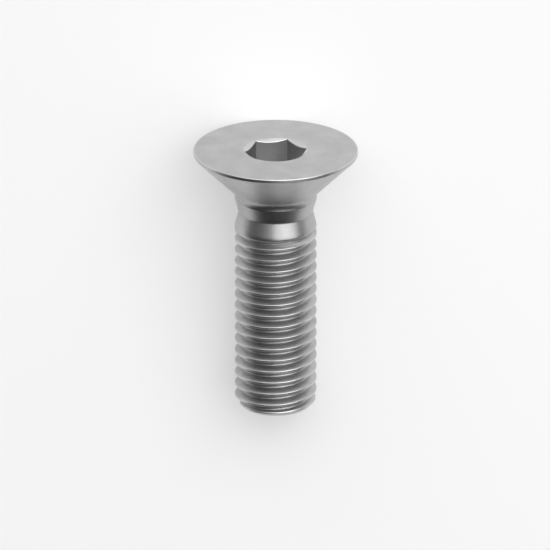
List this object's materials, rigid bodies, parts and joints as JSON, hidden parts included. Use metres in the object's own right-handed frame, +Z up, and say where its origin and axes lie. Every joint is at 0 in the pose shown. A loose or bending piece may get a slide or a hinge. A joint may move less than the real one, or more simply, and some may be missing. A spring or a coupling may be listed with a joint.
{
  "type": "countersunk socket screw",
  "caption": "Flat-headed steel screw with a conical underside, a hexagonal socket and a coarse metric thread.",
  "frame": {"origin": "on the floor under the middle of the screw, which lies on the edge of its head and the edge of its point", "axes": "the head is at +Y and the point at -Y, with the axis of the screw rising 8.87 degrees towards the head; +Z is up"},
  "size_m": [0.024, 0.0422, 0.0238],
  "materials": {
    "steel": "plain steel, satin on the head and bright on the rolled thread"
  },
  "bodies": {
    "root": {"countersunk_screw": "steel"}
  },
  "joints": []
}
